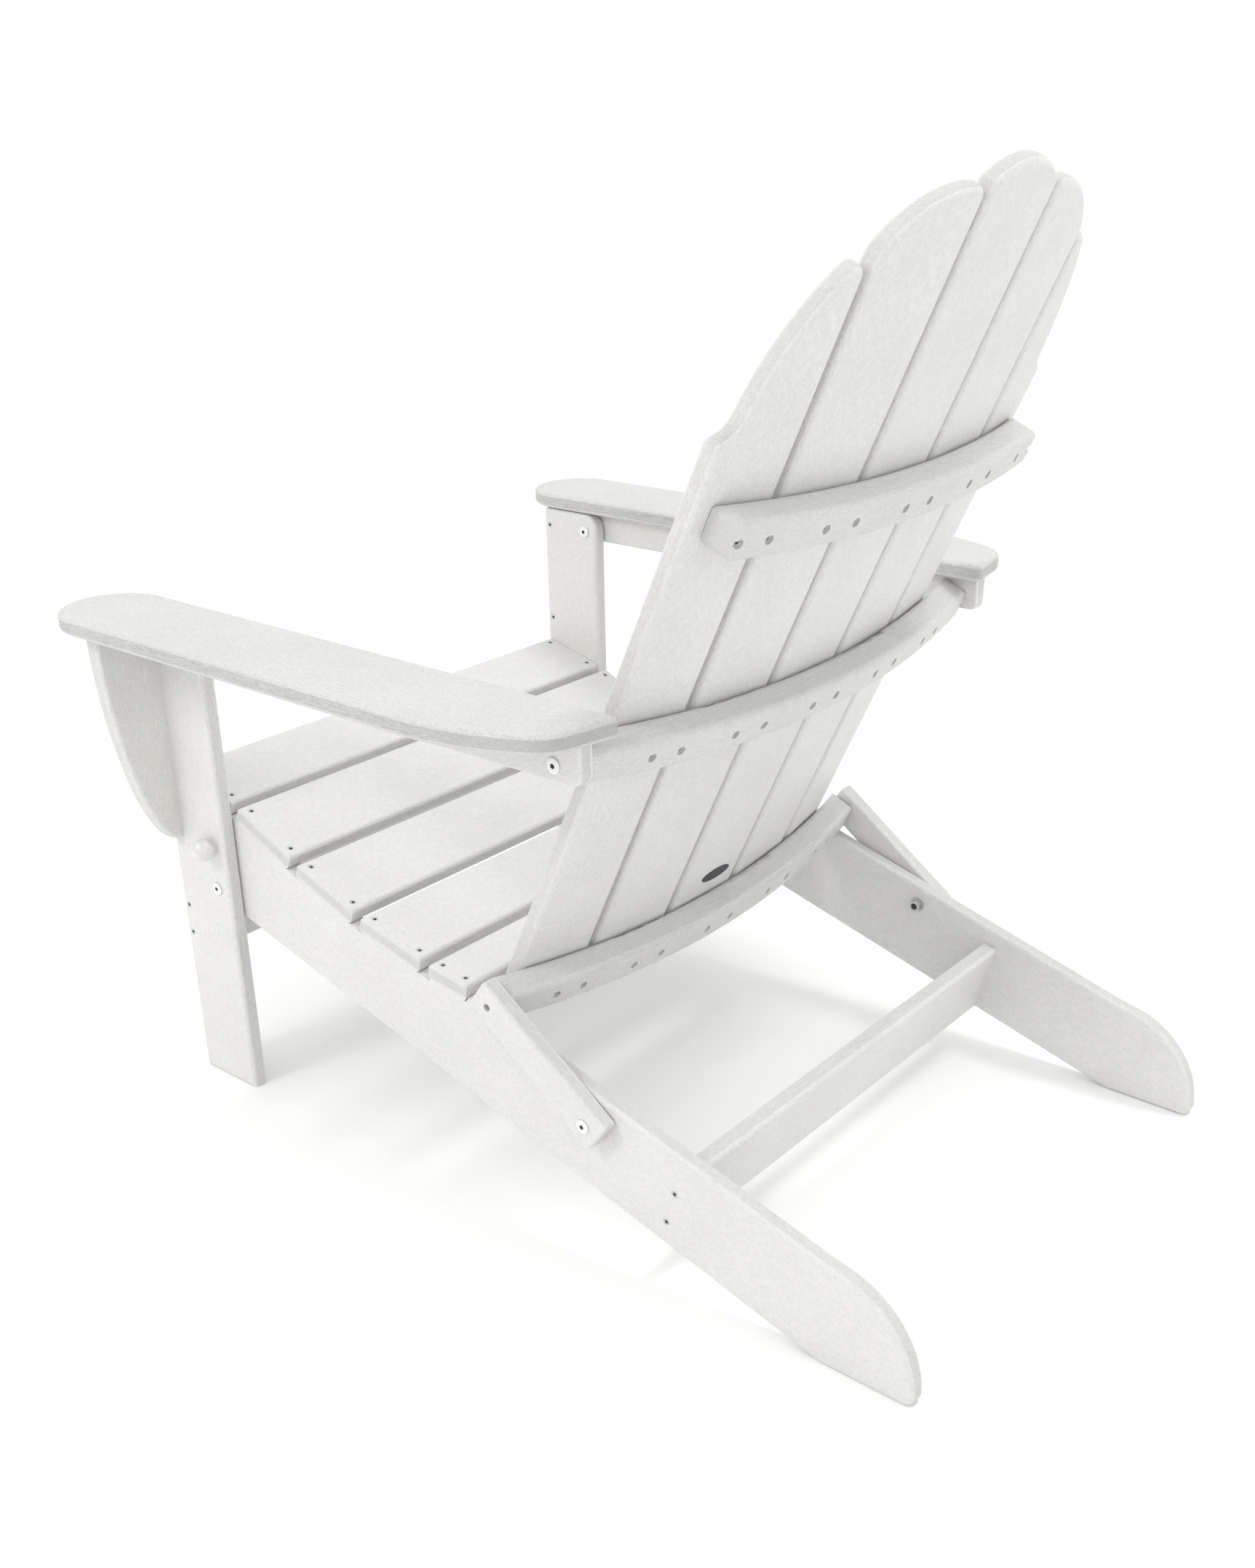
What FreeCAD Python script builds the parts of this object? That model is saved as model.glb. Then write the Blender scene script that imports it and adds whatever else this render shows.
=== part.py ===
import FreeCAD, Part
import math
import os
from FreeCAD import Placement, Rotation, Vector

# A folding adirondack chair of solid plastic boards. +Z is up, the sitter faces -Y,
# and left and right are the sitter's own (+X is left). The origin is on the ground, in the
# middle of the chair's length and width. All lengths are millimetres, all angles degrees.

SIZES = [
    # boards
    ("board_thick", 19), ("wide_board", 89), ("narrow_board", 38), ("edge_round", 5),
    ("arm_width", 114), ("arm_round", 5),
    # overall
    ("frame_width", 611), ("side_gap", 0.5), ("chair_half_length", 505),
    ("arm_height", 554), ("top_clear", 1),
    # seat frame
    ("heel_run", 100), ("rise_angle", 15.4), ("heel_round", 99), ("toe_round", 10),
    ("heel_fall", 10),
    ("seat_front_y", -458), ("seat_front_z", 377), ("slat_gap", 12), ("last_slat_width", 54),
    ("stretcher_from_heel", 172), ("stringer_lip", 6.5), ("rear_lip", 4),
    ("behind_seat", 130), ("fall_first", 15.8), ("knee_round", 700), ("sag_round", 250),
    # front legs
    ("leg_front_y", -459), ("pivot_inset", 19), ("leg_pivot_z", 254), ("peg_above_pivot", 51),
    ("apron_z", 152), ("sweep_clear", 3), ("bracket_reach", 72), ("bracket_height", 250),
    # arms
    ("pivot_drop", 23), ("rail_tail", 28), ("arm_tail", 42), ("arm_tail_arc", 259), ("arm_tail_turn", 47),
    # back
    ("link_top_y", 25), ("link_top_z", 246), ("back_tilt", 24.2), ("back_curve", 1370),
    ("support_depth", 32), ("support_round", 7), ("lower_pivot_off", 44), ("middle_pivot_off", 52),
    ("pivot_above", 6.5),
    ("upper_rise", 222), ("upper_half", 247), ("back_slat_width", 108), ("outer_slat_width", 92),
    ("back_slat_gap", 7), ("slat_foot", 20), ("middle_slat_top", 820), ("inner_slat_top", 799),
    ("outer_slat_top", 739), ("shoulder_top", 597), ("slat_round", 7),
    # rear links
    ("link_foot_y", 146), ("link_foot_z", 159), ("link_end", 19),
    # fasteners
    ("pin_radius", 4), ("pin_clear", 0.05), ("head_radius", 7), ("head_high", 4), ("washer_radius", 9),
    ("washer_thick", 1.5), ("nut_radius", 6.5), ("nut_high", 6), ("screw_radius", 2.2),
    ("screw_head", 4), ("screw_length", 36), ("screw_inset", 11), ("recess_radius", 4.6), ("recess_deep", 2.5),
    # locking pegs and badge
    ("peg_radius", 6), ("ball_radius", 12.7), ("peg_engage", 2), ("badge_half", 23.5), ("badge_high", 16),
    ("badge_above", 37), ("badge_aside", -9), ("badge_thick", 1),
]

doc = FreeCAD.newDocument("folding_adirondack_chair")
sheet = doc.addObject("Spreadsheet::Sheet", "Sizes")
for row, (alias, value) in enumerate(SIZES, start=1):
    sheet.set("A%d" % row, alias)
    sheet.set("B%d" % row, str(value))
    sheet.setAlias("B%d" % row, alias)
doc.recompute()


class Sheet:
    """The sheet's sizes as plain numbers, read by name."""

    def __getattr__(self, alias):
        return float(getattr(sheet, alias))


size = Sheet()
SIDES = (("left", 1), ("right", -1))
parts = {}


def polar(length, degrees):
    """A vector in the side view: along +Y at 0 degrees and up at 90."""
    turn = math.radians(degrees)
    return Vector(0, length * math.cos(turn), length * math.sin(turn))


# ---------------------------------------------------------------- places worked out from the sizes

thick = size.board_thick
half_frame = size.frame_width / 2
leg_in = half_frame + size.side_gap
leg_out = leg_in + thick
rail_in = leg_out + size.side_gap
rail_out = rail_in + thick
leg_back_y = size.leg_front_y + size.wide_board
hinge_y = leg_back_y - size.pivot_inset
pivot_z = size.arm_height - size.pivot_drop
leg_top = size.arm_height - size.top_clear
leg_pivot = Vector(0, hinge_y, size.leg_pivot_z)
arm_pivot = Vector(0, hinge_y, pivot_z)
link_top = Vector(0, size.link_top_y, size.link_top_z)
link_foot = Vector(0, size.link_foot_y, size.link_foot_z)

tilt = math.radians(size.back_tilt)
back_up = Vector(0, math.sin(tilt), math.cos(tilt))
back_out = Vector(0, math.cos(tilt), -math.sin(tilt))
pivot_step = size.middle_pivot_off - size.lower_pivot_off
middle_rise = (pivot_z - size.link_top_z - pivot_step * math.sin(tilt)) / math.cos(tilt)
back_pivot = link_top + back_up * middle_rise - back_out * pivot_step
back_origin = link_top + back_out * size.lower_pivot_off
back_place = Placement(back_origin, Rotation(Vector(1, 0, 0), -size.back_tilt))
front_curve = size.back_curve - size.support_depth

heel_y = size.chair_half_length - size.heel_run
slope = math.tan(math.radians(size.rise_angle))


def under_z(y):
    """Height of the stringers' lower edge."""
    return (heel_y - y) * slope


# ---------------------------------------------------------------- building blocks

def line(a, b):
    return Part.LineSegment(a, b)


def arc(a, middle, b):
    return Part.Arc(a, middle, b)


def flat(u, v):
    return Vector(u, v, 0)


def ray(length, degrees):
    """A vector in an outline's own plane."""
    turn = math.radians(degrees)
    return Vector(length * math.cos(turn), length * math.sin(turn), 0)


def bend(spot, heading, radius, turn):
    """An arc from spot that sets off along heading and turns left, or right if turn is negative."""
    side = 90 if turn > 0 else -90
    centre = spot + ray(radius, heading + side)
    middle = centre + ray(radius, heading - side + turn / 2)
    end = centre + ray(radius, heading - side + turn)
    return arc(spot, middle, end), end


def rounded(points, radii, closed=True):
    """Straight runs between points, with arcs of the given radii at the corners."""
    edges = []
    count = len(points)
    cuts = []
    for i, corner in enumerate(points):
        radius = radii[i]
        start, middle, end = corner, corner, corner
        if radius:
            back = (points[i - 1] - corner).normalize()
            ahead = (points[(i + 1) % count] - corner).normalize()
            half = back.getAngle(ahead) / 2
            reach = radius / math.tan(half)
            start = corner + back * reach
            middle = corner + (back + ahead).normalize() * (radius / math.sin(half) - radius)
            end = corner + ahead * reach
        cuts.append((start, middle, end, radius))
    for i, (start, middle, end, radius) in enumerate(cuts):
        if radius:
            edges.append(arc(start, middle, end))
        if closed or i < count - 1:
            edges.append(line(end, cuts[(i + 1) % count][0]))
    return edges


def sound(fillet, base):
    """Whether a rounded board is one valid solid that stays inside the square one."""
    if "Invalid" in fillet.State or fillet.Shape.isNull() or not fillet.Shape.isValid():
        return False
    inside = base.Shape.optimalBoundingBox(False)
    inside.enlarge(0.01)
    return len(fillet.Shape.Solids) == 1 and inside.isInside(fillet.Shape.optimalBoundingBox(False))


def profile_board(name, plane, edges, rounding, place, mid=None, square=()):
    """A board padded from an outline, its edges rounded over except along the square runs."""
    body = doc.addObject("PartDesign::Body", name + "_board")
    support = [o for o in body.Origin.OriginFeatures if o.Role == plane][0]
    sketch = body.newObject("Sketcher::SketchObject", name + "_outline")
    sketch.AttachmentSupport = (support, [""])
    sketch.MapMode = "FlatFace"
    sketch.addGeometry(edges, False)
    pad = body.newObject("PartDesign::Pad", name + "_pad")
    pad.Profile = sketch
    pad.setExpression("Length", mid or "Sizes.board_thick")
    pad.Midplane = bool(mid)
    doc.recompute()
    to_sketch = sketch.Placement.inverse()
    names = []
    for i, edge in enumerate(pad.Shape.Edges):
        halfway = to_sketch.multVec(edge.valueAt((edge.FirstParameter + edge.LastParameter) / 2))
        upright = abs(to_sketch.Rotation.multVec(edge.tangentAt(edge.FirstParameter)).z) > 0.5
        kept = [m for m in square if math.hypot(halfway.x - m.x, halfway.y - m.y) < 0.5]
        if not upright and not kept:
            names.append("Edge%d" % (i + 1))
    fillet = body.newObject("PartDesign::Fillet", name + "_round")
    fillet.Base = (pad, names)
    body.Tip = fillet
    body.Placement = place
    for trim in ("", " * 0.96", " * 0.9", " * 0.8", " * 0.65", " * 0.5"):
        fillet.setExpression("Radius", rounding + trim)
        doc.recompute()
        if sound(fillet, pad):
            break
    return body


def straight_board(name, lengths, rounding, place, along):
    """A plain board, with the four edges that run along axis number 'along' rounded over."""
    box = doc.addObject("Part::Box", name + "_board")
    for side, expression in zip(("Length", "Width", "Height"), lengths):
        box.setExpression(side, expression)
    doc.recompute()
    axis = (Vector(1, 0, 0), Vector(0, 1, 0), Vector(0, 0, 1))[along]
    picked = [i + 1 for i, e in enumerate(box.Shape.Edges)
              if abs(e.tangentAt(e.FirstParameter).dot(axis)) > 0.9]
    fillet = doc.addObject("Part::Fillet", name + "_round")
    fillet.Base = box
    radius = getattr(size, rounding)
    fillet.Edges = [(i, radius, radius) for i in picked]
    fillet.Placement = place
    doc.recompute()
    return fillet


def turned(points):
    """A solid of revolution about Z from (radius, height) points."""
    corners = [Vector(r, 0, z) for r, z in points]
    wire = Part.makePolygon(corners + corners[:1])
    return Part.Face(wire).revolve(Vector(0, 0, 0), Vector(0, 0, 1), 360)


def placed(shape, point, out):
    """A copy of a turned piece, its head at point and facing the way out."""
    copy = shape.copy()
    copy.Placement = Placement(point, Rotation(Vector(0, 0, 1), out))
    return copy


def hex_pocket(across, deep, top):
    """A six-sided key pocket that opens at height top."""
    ring = [Vector(across / 2 * math.cos(math.radians(60 * i)),
                   across / 2 * math.sin(math.radians(60 * i)), top - deep) for i in range(7)]
    return Part.Face(Part.makePolygon(ring)).extrude(Vector(0, 0, deep + 1))


def screw(length):
    """A countersunk wood screw, its flat head level with z = 0."""
    head, shank = size.screw_head, size.screw_radius
    body = turned([(0, 0), (head, 0), (shank, shank - head), (shank, 3 - length), (0, -length)])
    return body.cut(hex_pocket(size.screw_head, 1.4, 0))


def screw_hole(length, deep=0.0):
    """The bore that a screw sits in, sunk below the surface in a round recess."""
    head, shank, gap = size.screw_head + size.pin_clear, size.screw_radius + size.pin_clear, 0.1
    wall = max(head, size.recess_radius) if deep else head
    return turned([(0, 5), (wall, 5), (wall, -deep), (head, -deep), (shank, -deep - head + shank),
                   (shank, -deep - length - gap), (0, -deep - length - gap)])


def bolt(length):
    """A button-head bolt on its washer: z = 0 is the washer's underside."""
    shank, head, high = size.pin_radius, size.head_radius, size.head_high
    base = size.washer_thick
    body = turned([(0, base + high), (head * 0.55, base + high), (head * 0.85, base + high * 0.7),
                   (head, base + high * 0.2), (head, base), (size.washer_radius, base),
                   (size.washer_radius, 0), (shank, 0), (shank, -length), (0, -length)])
    return body.cut(hex_pocket(5.5, 2.6, base + high))


def nut():
    """A washer and a lock nut on it: z = 0 is the washer's underside."""
    bore = size.pin_radius + size.pin_clear
    washer = turned([(bore, 0), (size.washer_radius, 0), (size.washer_radius, size.washer_thick),
                     (bore, size.washer_thick)])
    ring = [Vector(size.nut_radius / math.cos(math.pi / 6) * math.cos(math.radians(60 * i)),
                   size.nut_radius / math.cos(math.pi / 6) * math.sin(math.radians(60 * i)),
                   size.washer_thick) for i in range(7)]
    block = Part.Face(Part.makePolygon(ring)).extrude(Vector(0, 0, size.nut_high))
    block = block.cut(Part.makeCylinder(bore, 40, Vector(0, 0, -10)))
    return washer, block


def bore(point, out, deep, radius):
    """A cylinder to cut, from just outside the face at point to a depth behind it."""
    return Part.makeCylinder(radius, deep + 20, point + out * 20, out * -1)


def drilled(name, board, tools):
    """The finished piece: a board less its holes, recorded under its node's name."""
    tool = doc.addObject("Part::Feature", name + "_holes")
    tool.Shape = Part.makeCompound(tools)
    cut = doc.addObject("Part::Cut", name)
    cut.Base = board
    cut.Tool = tool
    cut.Label = name
    parts[name] = cut


def group(name, solids):
    """A set of identical fasteners as one node of separate solids."""
    feature = doc.addObject("Part::Feature", name)
    feature.Shape = Part.makeCompound(solids)
    feature.Label = name
    parts[name] = feature


# ---------------------------------------------------------------- the seat's contour

SLAT_SLOPES = (13.6, 24.5, 20.2, 13.5, 7.7)
slat_widths = [size.wide_board] * 4 + [size.last_slat_width]
slat_tops = []
corner = Vector(0, size.seat_front_y, size.seat_front_z)
for i, width in enumerate(slat_widths):
    run = polar(width, -SLAT_SLOPES[i])
    slat_tops.append((corner, corner + run, SLAT_SLOPES[i]))
    if i < 4:
        corner = corner + run + polar(size.slat_gap, -(SLAT_SLOPES[i] + SLAT_SLOPES[i + 1]) / 2)


def slat_under(i, share):
    """A point on the underside of slat i, a share of the way from its front to its rear edge."""
    front, rear, angle = slat_tops[i]
    return front + (rear - front) * share - polar(thick, 90 - angle)


screw_spots = []
for i, (front, rear, angle) in enumerate(slat_tops):
    for along in (size.screw_inset, slat_widths[i] - size.screw_inset):
        spot = front + polar(along, -angle)
        for side in (1, -1):
            screw_spots.append((i, spot + Vector(side * (half_frame - thick / 2), 0, 0), polar(1, 90 - angle)))

# ---------------------------------------------------------------- stringers

apron_top = size.apron_z + size.wide_board
apron_corner = Vector(0, size.leg_front_y + thick, apron_top)
nose_radius = (apron_corner - leg_pivot).Length - size.sweep_clear


def stringer_outline():
    """The side board: seat contour on top, straight below, a round heel and a cut-away nose."""
    tops = []
    for i in range(5):
        tops += [slat_under(i, 0), slat_under(i, 1)]
    nose = Vector(0, tops[0].y + size.stringer_lip, 0)
    nose.z = tops[0].z + (nose.y - tops[0].y) * -math.tan(math.radians(SLAT_SLOPES[0]))
    tops[0] = nose
    notch_z = apron_top + size.sweep_clear
    lift = notch_z - leg_pivot.z
    notch_y = leg_pivot.y - math.sqrt(nose_radius ** 2 - lift ** 2)
    reach = (leg_pivot.z - under_z(leg_pivot.y)) * math.cos(math.radians(size.rise_angle))
    low = leg_pivot + polar(reach, 270 - size.rise_angle)
    low += polar(math.sqrt(nose_radius ** 2 - reach ** 2), 180 - size.rise_angle)
    tops[-1] += polar(0.5, -SLAT_SLOPES[-1])
    tops.append(tops[-1] + polar(size.rear_lip, 90 - SLAT_SLOPES[-1]))
    heel_centre = Vector(0, size.chair_half_length - size.heel_round, size.toe_round)
    crown = heel_centre + polar(size.heel_round, 90 - size.heel_fall)
    heel_end = heel_centre + Vector(0, size.heel_round, 0)
    seat_end = tops[-1]
    knee = seat_end + polar(size.behind_seat, -size.fall_first)
    knee_centre = knee + polar(size.knee_round, -90 - size.fall_first)
    fall, last = 18.0, math.radians(size.heel_fall)
    for step in range(20):
        first = math.radians(fall)
        knee_end = knee_centre + polar(size.knee_round, 90 - fall)
        sag_start = crown - Vector(0, math.sin(first) - math.sin(last),
                                   math.cos(first) - math.cos(last)) * size.sag_round
        gap = sag_start - knee_end
        fall = max(math.degrees(math.atan2(-gap.z, gap.y)), size.fall_first + 0.5)
    knee_mid = knee_centre + polar(size.knee_round, 90 - (size.fall_first + fall) / 2)
    sag_mid = sag_start + polar(size.sag_round, 90 - fall)
    sag_mid += polar(size.sag_round, -90 - (fall + size.heel_fall) / 2)
    tail = [line(flat(seat_end.y, seat_end.z), flat(knee.y, knee.z)),
            arc(flat(knee.y, knee.z), flat(knee_mid.y, knee_mid.z), flat(knee_end.y, knee_end.z)),
            line(flat(knee_end.y, knee_end.z), flat(sag_start.y, sag_start.z)),
            arc(flat(sag_start.y, sag_start.z), flat(sag_mid.y, sag_mid.z), flat(crown.y, crown.z))]
    contour = [line(flat(a.y, a.z), flat(b.y, b.z)) for a, b in zip(tops, tops[1:])]
    heel_mid = heel_centre + polar(size.heel_round, (90 - size.heel_fall) / 2)
    toe = size.toe_round
    toe_mid = Vector(0, heel_end.y - toe, toe) + polar(toe, -45)
    heel = [arc(flat(crown.y, crown.z), flat(heel_mid.y, heel_mid.z), flat(heel_end.y, heel_end.z)),
            arc(flat(heel_end.y, heel_end.z), flat(toe_mid.y, toe_mid.z), flat(heel_end.y - toe, 0)),
            line(flat(heel_end.y - toe, 0), flat(heel_y, 0))]
    front = rounded([flat(heel_y, 0), flat(low.y, low.z), flat(notch_y, notch_z), flat(nose.y, notch_z),
                     flat(nose.y, nose.z)], [0, 9, 6, 6, 0], False)
    return contour + tail + heel + front, contour


long_bolt = thick * 2 + size.side_gap + size.washer_thick + size.nut_high + 2
pin_hole = size.pin_radius + size.pin_clear
stretcher_low = Vector(0, heel_y - size.stretcher_from_heel, 0)
stretcher_low.z = under_z(stretcher_low.y)
stretcher_up = polar(1, 90 - size.rise_angle)
stretcher_line = stretcher_low + polar(thick / 2, 180 - size.rise_angle)
stretcher_spots = [stretcher_line + stretcher_up * (size.wide_board * share) for share in (0.3, 0.72)]
peg_centre = leg_pivot + Vector(0, 0, size.peg_above_pivot)
seat_screw_hole = screw_hole(size.screw_length)
long_screw_hole = screw_hole(size.screw_length + 14)

for side_name, side in SIDES:
    out = Vector(side, 0, 0)
    face = out * half_frame
    outline, contour = stringer_outline()
    hidden = [run.value((run.FirstParameter + run.LastParameter) / 2) for run in contour]
    board = profile_board("stringer_" + side_name, "YZ_Plane", outline, "Sizes.edge_round", Placement(),
                          square=hidden)
    x_low = "Sizes.frame_width / 2 - Sizes.board_thick" if side > 0 else "-Sizes.frame_width / 2"
    board.setExpression("Placement.Base.x", x_low)
    tools = [bore(leg_pivot + face, out, thick + 20, pin_hole), bore(link_foot + face, out, thick + 20, pin_hole),
             bore(peg_centre + face, out, size.peg_engage + 0.5, size.peg_radius + 0.3)]
    tools += [placed(seat_screw_hole, spot, up) for i, spot, up in screw_spots if spot.x * side > 0]
    tools += [placed(long_screw_hole, spot + face, out) for spot in stretcher_spots]
    drilled("stringer_" + side_name, board, tools)

# ---------------------------------------------------------------- seat slats, stretcher

for i, (front, rear, angle) in enumerate(slat_tops):
    width = "Sizes.wide_board" if i < 4 else "Sizes.last_slat_width"
    low = slat_under(i, 0)
    place = Placement(Vector(-half_frame, low.y, low.z), Rotation(Vector(1, 0, 0), -angle))
    board = straight_board("seat_slat_%d" % (i + 1), ("Sizes.frame_width", width, "Sizes.board_thick"),
                           "edge_round", place, 0)
    drilled("seat_slat_%d" % (i + 1), board,
            [placed(seat_screw_hole, spot, up) for k, spot, up in screw_spots if k == i])

inner_half = half_frame - thick
place = Placement(stretcher_low - Vector(inner_half, 0, 0), Rotation(Vector(1, 0, 0), -size.rise_angle))
place.Base = place.Base + polar(thick, 180 - size.rise_angle)
board = straight_board("rear_stretcher", ("Sizes.frame_width - 2 * Sizes.board_thick", "Sizes.board_thick",
                                          "Sizes.wide_board"), "edge_round", place, 0)
drilled("rear_stretcher", board, [placed(long_screw_hole, spot + Vector(s * half_frame, 0, 0), Vector(s, 0, 0))
                                  for spot in stretcher_spots for n, s in SIDES])

# ---------------------------------------------------------------- front legs, apron and brackets

apron_spots = [Vector(0, size.leg_front_y + thick / 2, size.apron_z + size.wide_board * share)
               for share in (0.33, 0.72)]
bracket_top = leg_top - size.top_clear
bracket_spots = [Vector(0, size.leg_front_y + thick / 2, bracket_top - size.bracket_height * share)
                 for share in (0.08, 0.58)]


def bracket_outline(side):
    """A quarter oval built from three arcs, upright against the leg and level under the arm."""
    reach, high = size.bracket_reach, size.bracket_height
    small, first, second = reach * 0.36, math.radians(58), math.radians(75)
    a1, a2 = math.sin(second) - math.sin(first), 1 - math.sin(second)
    b1, b2 = math.cos(first) - math.cos(second), math.cos(second)
    need_x = reach - small * math.sin(first)
    need_z = high - small * (1 - math.cos(first))
    middle = (need_x * b2 - need_z * a2) / (a1 * b2 - a2 * b1)
    large = (need_z - b1 * middle) / b2
    corner = flat(side * leg_out, bracket_top)
    low = corner - flat(0, high)
    start = 90 - 90 * side
    arc_1, spot_1 = bend(low, start, small, side * 58)
    arc_2, spot_2 = bend(spot_1, start + side * 58, middle, side * 17)
    arc_3, spot_3 = bend(spot_2, start + side * 75, large, side * 15)
    return [arc_1, arc_2, arc_3, line(spot_3, corner), line(corner, low)]


for side_name, side in SIDES:
    out = Vector(side, 0, 0)
    y0, y1 = size.leg_front_y, leg_back_y
    outline = rounded([flat(y0, 0), flat(y1, 0), flat(y1, leg_top), flat(y0, leg_top)],
                      [0, 0, size.pivot_inset, 2])
    board = profile_board("front_leg_" + side_name, "YZ_Plane", outline, "Sizes.edge_round",
                          Placement())
    x_low = ("Sizes.frame_width / 2 + Sizes.side_gap" if side > 0
             else "-Sizes.frame_width / 2 - Sizes.side_gap - Sizes.board_thick")
    board.setExpression("Placement.Base.x", x_low)
    outer = out * leg_out
    inner = out * leg_in
    tools = [bore(leg_pivot + outer, out, thick + 20, pin_hole), bore(arm_pivot + outer, out, thick + 20, pin_hole),
             bore(peg_centre + outer, out, thick + 20, size.peg_radius + size.pin_clear)]
    tools += [placed(long_screw_hole, spot + outer, out) for spot in apron_spots]
    tools += [placed(long_screw_hole, spot + inner, out * -1) for spot in bracket_spots]
    drilled("front_leg_" + side_name, board, tools)

    outline = bracket_outline(side)
    butts = [(run.StartPoint + run.EndPoint) / 2 for run in outline[3:]]
    board = profile_board("arm_bracket_" + side_name, "XZ_Plane", outline, "Sizes.edge_round",
                          Placement(Vector(0, size.leg_front_y + thick, 0), Rotation()), square=butts)
    drilled("arm_bracket_" + side_name, board,
            [placed(long_screw_hole, spot + inner, out * -1) for spot in bracket_spots])

place = Placement(Vector(-leg_in, size.leg_front_y, size.apron_z), Rotation())
board = straight_board("front_apron", ("Sizes.frame_width + 2 * Sizes.side_gap", "Sizes.board_thick",
                                       "Sizes.wide_board"), "edge_round", place, 0)
drilled("front_apron", board, [placed(long_screw_hole, spot + Vector(s * leg_out, 0, 0), Vector(s, 0, 0))
                               for spot in apron_spots for n, s in SIDES])

# ---------------------------------------------------------------- arms and their rails

rail_reach = size.wide_board - size.pivot_inset - thick - 1.5
rail_reach = math.sqrt(rail_reach ** 2 - max(size.narrow_board - size.pivot_drop, 0) ** 2)
rail_y0, rail_y1 = hinge_y - rail_reach, back_pivot.y + size.rail_tail
rail_low = size.arm_height - size.narrow_board
rail_screw = size.narrow_board + thick * 0.6
rail_spots = [Vector(0, rail_y0 + (rail_y1 - rail_y0) * share, rail_low) for share in (0.16, 0.38, 0.62, 0.84)]
arm_screw_hole = screw_hole(rail_screw)


def arm_outline(side):
    """The arm from above: a half-round front, and a tail that sweeps in to the inner edge."""
    inside, width = half_frame, size.arm_width
    outside = inside + width
    radius = width / 2
    front = -size.chair_half_length + radius
    tail_y = back_pivot.y + size.arm_tail
    big, small = size.arm_tail_arc, size.arm_tail_turn
    first, last = math.radians(27.6), math.radians(80)
    drop_x = big * (1 - math.cos(first)) + small * (math.cos(first) - math.cos(last))
    gain_y = big * math.sin(first) + small * (math.sin(last) - math.sin(first))
    end_x = outside - drop_x
    end_y = tail_y - (end_x - inside) / math.tan(last)
    start_y = end_y - gain_y

    def sweep(turn):
        if turn <= first:
            return (outside - big * (1 - math.cos(turn)), start_y + big * math.sin(turn))
        return (outside - big * (1 - math.cos(first)) - small * (math.cos(first) - math.cos(turn)),
                start_y + big * math.sin(first) + small * (math.sin(turn) - math.sin(first)))

    def at(spot):
        return flat(side * spot[0], spot[1])

    nib = 8
    nib_in = (inside, tail_y - nib)
    nib_mid = (inside + nib * 0.25, tail_y - nib * 0.28)
    nib_out = (inside + nib * math.sin(last), tail_y - nib * math.cos(last))
    return [line(at((inside, front)), at(nib_in)),
            arc(at(nib_in), at(nib_mid), at(nib_out)),
            line(at(nib_out), at(sweep(last))),
            arc(at(sweep(last)), at(sweep((first + last) / 2)), at(sweep(first))),
            arc(at(sweep(first)), at(sweep(first / 2)), at(sweep(0))),
            line(at(sweep(0)), at((outside, front))),
            arc(at((outside, front)), at((inside + radius, front - radius)), at((inside, front)))]


for side_name, side in SIDES:
    out = Vector(side, 0, 0)
    board = profile_board("arm_" + side_name, "XY_Plane", arm_outline(side), "Sizes.arm_round",
                          Placement())
    board.setExpression("Placement.Base.z", "Sizes.arm_height")
    middle = out * (rail_in + thick / 2)
    tools = [placed(arm_screw_hole, spot + middle, Vector(0, 0, -1)) for spot in rail_spots]
    drilled("arm_" + side_name, board, tools)
    outline = rounded([flat(rail_y0, rail_low), flat(rail_y1, rail_low), flat(rail_y1, size.arm_height),
                       flat(rail_y0, size.arm_height)], [3, 8, 0, 0])
    board = profile_board("arm_rail_" + side_name, "YZ_Plane", outline, "Sizes.edge_round - 2.5",
                          Placement())
    x_low = ("Sizes.frame_width / 2 + 2 * Sizes.side_gap + Sizes.board_thick" if side > 0
             else "-Sizes.frame_width / 2 - 2 * Sizes.side_gap - 2 * Sizes.board_thick")
    board.setExpression("Placement.Base.x", x_low)
    tools.append(bore(arm_pivot + out * rail_out, out, thick + 20, pin_hole))
    tools.append(bore(back_pivot + out * rail_out, out, thick + 20, pin_hole))
    drilled("arm_rail_" + side_name, board, tools)

# ---------------------------------------------------------------- the back

inner_step = size.back_slat_width + size.back_slat_gap
outer_step = (size.back_slat_width + size.outer_slat_width) / 2 + size.back_slat_gap
slat_turns = [math.degrees(step / front_curve) for step in (inner_step + outer_step, inner_step, 0)]
slat_turns += [-turn for turn in reversed(slat_turns[:2])]
widths = [size.outer_slat_width, size.back_slat_width, size.back_slat_width, size.back_slat_width,
          size.outer_slat_width]
support_rises = {"lower": -size.pivot_above, "middle": middle_rise - size.pivot_above}
support_rises["upper"] = support_rises["middle"] + size.upper_rise
support_halves = {"lower": half_frame - size.side_gap, "middle": leg_out, "upper": size.upper_half}


def on_back(x, off, rise):
    """A point in the chair's frame from the back's own: across, forward of the rear face, up."""
    return back_place.multVec(Vector(x, -off, rise))


def slat_place(turn, width):
    """Where a slat's own middle line stands: its rear corners touch the supports' front curve."""
    radius = math.sqrt(front_curve ** 2 - (width / 2) ** 2) - 0.05
    rad = math.radians(turn)
    spot = Vector(radius * math.sin(rad), radius * math.cos(rad) - size.back_curve, 0)
    return back_place.multiply(Placement(spot, Rotation(Vector(0, 0, 1), -turn)))


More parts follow.
